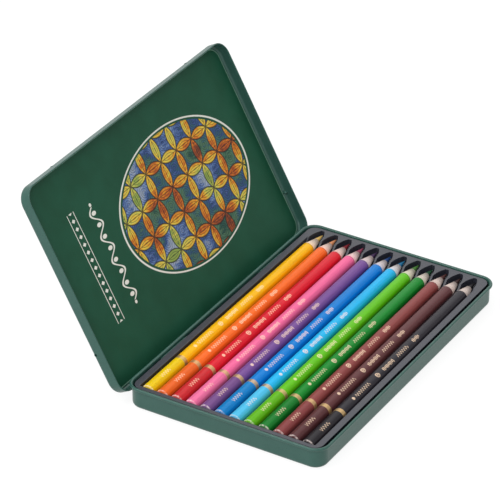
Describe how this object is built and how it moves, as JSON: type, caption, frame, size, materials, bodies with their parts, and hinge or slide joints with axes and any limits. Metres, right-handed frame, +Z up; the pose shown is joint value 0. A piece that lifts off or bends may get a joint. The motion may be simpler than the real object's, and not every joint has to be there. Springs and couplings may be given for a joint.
{
  "type": "colored pencil tin",
  "caption": "Flat hinged painted tin, lid open and leaning back, with round colored pencils lying side by side in a dark formed plastic tray.",
  "frame": {"origin": "centre of the underside of the base, on the surface it stands on", "axes": "+Z up; the pencils lie along Y with their tips toward +Y; the hinge runs along Y on the -X side and the lid opens toward -X"},
  "size_m": [0.1748, 0.1872, 0.1088],
  "materials": {
    "tin_paint": "satin dark green enamel on tinplate",
    "lid_lining": "printed dark green sheet with a soft sheen",
    "tray_plastic": "dark grey thermoformed sheet, semi-gloss",
    "paint_yellow": "glossy painted barrel, bare sharpened cone",
    "lead_yellow": "waxy colored core",
    "paint_orange": "glossy painted barrel, bare sharpened cone",
    "lead_orange": "waxy colored core",
    "paint_red": "glossy painted barrel, bare sharpened cone",
    "lead_red": "waxy colored core",
    "paint_pink": "glossy painted barrel, bare sharpened cone",
    "lead_pink": "waxy colored core",
    "paint_purple": "glossy painted barrel, bare sharpened cone",
    "lead_purple": "waxy colored core",
    "paint_blue": "glossy painted barrel, bare sharpened cone",
    "lead_blue": "waxy colored core",
    "paint_light_blue": "glossy painted barrel, bare sharpened cone",
    "lead_light_blue": "waxy colored core",
    "paint_lime": "glossy painted barrel, bare sharpened cone",
    "lead_lime": "waxy colored core",
    "paint_green": "glossy painted barrel, bare sharpened cone",
    "lead_green": "waxy colored core",
    "paint_red_brown": "glossy painted barrel, bare sharpened cone",
    "lead_red_brown": "waxy colored core",
    "paint_dark_brown": "glossy painted barrel, bare sharpened cone",
    "lead_dark_brown": "waxy colored core",
    "paint_black": "glossy painted barrel, bare sharpened cone",
    "lead_black": "waxy colored core"
  },
  "bodies": {
    "base": {"base_shell": "tin_paint"},
    "tray": {"tray": "tray_plastic"},
    "lid": {"lid_shell": "tin_paint", "lid_insert": "lid_lining"},
    "pencil_yellow": {"pencil_yellow_casing": "paint_yellow", "pencil_yellow_lead": "lead_yellow"},
    "pencil_orange": {"pencil_orange_casing": "paint_orange", "pencil_orange_lead": "lead_orange"},
    "pencil_red": {"pencil_red_casing": "paint_red", "pencil_red_lead": "lead_red"},
    "pencil_pink": {"pencil_pink_casing": "paint_pink", "pencil_pink_lead": "lead_pink"},
    "pencil_purple": {"pencil_purple_casing": "paint_purple", "pencil_purple_lead": "lead_purple"},
    "pencil_blue": {"pencil_blue_casing": "paint_blue", "pencil_blue_lead": "lead_blue"},
    "pencil_light_blue": {"pencil_light_blue_casing": "paint_light_blue", "pencil_light_blue_lead": "lead_light_blue"},
    "pencil_lime": {"pencil_lime_casing": "paint_lime", "pencil_lime_lead": "lead_lime"},
    "pencil_green": {"pencil_green_casing": "paint_green", "pencil_green_lead": "lead_green"},
    "pencil_red_brown": {"pencil_red_brown_casing": "paint_red_brown", "pencil_red_brown_lead": "lead_red_brown"},
    "pencil_dark_brown": {"pencil_dark_brown_casing": "paint_dark_brown", "pencil_dark_brown_lead": "lead_dark_brown"},
    "pencil_black": {"pencil_black_casing": "paint_black", "pencil_black_lead": "lead_black"}
  },
  "joints": [
    {"name": "lid_hinge", "type": "hinge", "parent": "base", "child": "lid", "pos_m": [-0.05585, 0, 0.0095], "axis": [0, -1, 0], "range_deg": [-118.7, 0]},
    {"name": "tray_lift", "type": "slide", "parent": "base", "child": "tray", "axis": [0, 0, 1], "range_m": [0, 0.04]},
    {"name": "pencil_yellow_lift", "type": "slide", "parent": "tray", "child": "pencil_yellow", "axis": [0, 0, 1], "range_m": [0, 0.04]},
    {"name": "pencil_orange_lift", "type": "slide", "parent": "tray", "child": "pencil_orange", "axis": [0, 0, 1], "range_m": [0, 0.04]},
    {"name": "pencil_red_lift", "type": "slide", "parent": "tray", "child": "pencil_red", "axis": [0, 0, 1], "range_m": [0, 0.04]},
    {"name": "pencil_pink_lift", "type": "slide", "parent": "tray", "child": "pencil_pink", "axis": [0, 0, 1], "range_m": [0, 0.04]},
    {"name": "pencil_purple_lift", "type": "slide", "parent": "tray", "child": "pencil_purple", "axis": [0, 0, 1], "range_m": [0, 0.04]},
    {"name": "pencil_blue_lift", "type": "slide", "parent": "tray", "child": "pencil_blue", "axis": [0, 0, 1], "range_m": [0, 0.04]},
    {"name": "pencil_light_blue_lift", "type": "slide", "parent": "tray", "child": "pencil_light_blue", "axis": [0, 0, 1], "range_m": [0, 0.04]},
    {"name": "pencil_lime_lift", "type": "slide", "parent": "tray", "child": "pencil_lime", "axis": [0, 0, 1], "range_m": [0, 0.04]},
    {"name": "pencil_green_lift", "type": "slide", "parent": "tray", "child": "pencil_green", "axis": [0, 0, 1], "range_m": [0, 0.04]},
    {"name": "pencil_red_brown_lift", "type": "slide", "parent": "tray", "child": "pencil_red_brown", "axis": [0, 0, 1], "range_m": [0, 0.04]},
    {"name": "pencil_dark_brown_lift", "type": "slide", "parent": "tray", "child": "pencil_dark_brown", "axis": [0, 0, 1], "range_m": [0, 0.04]},
    {"name": "pencil_black_lift", "type": "slide", "parent": "tray", "child": "pencil_black", "axis": [0, 0, 1], "range_m": [0, 0.04]}
  ]
}
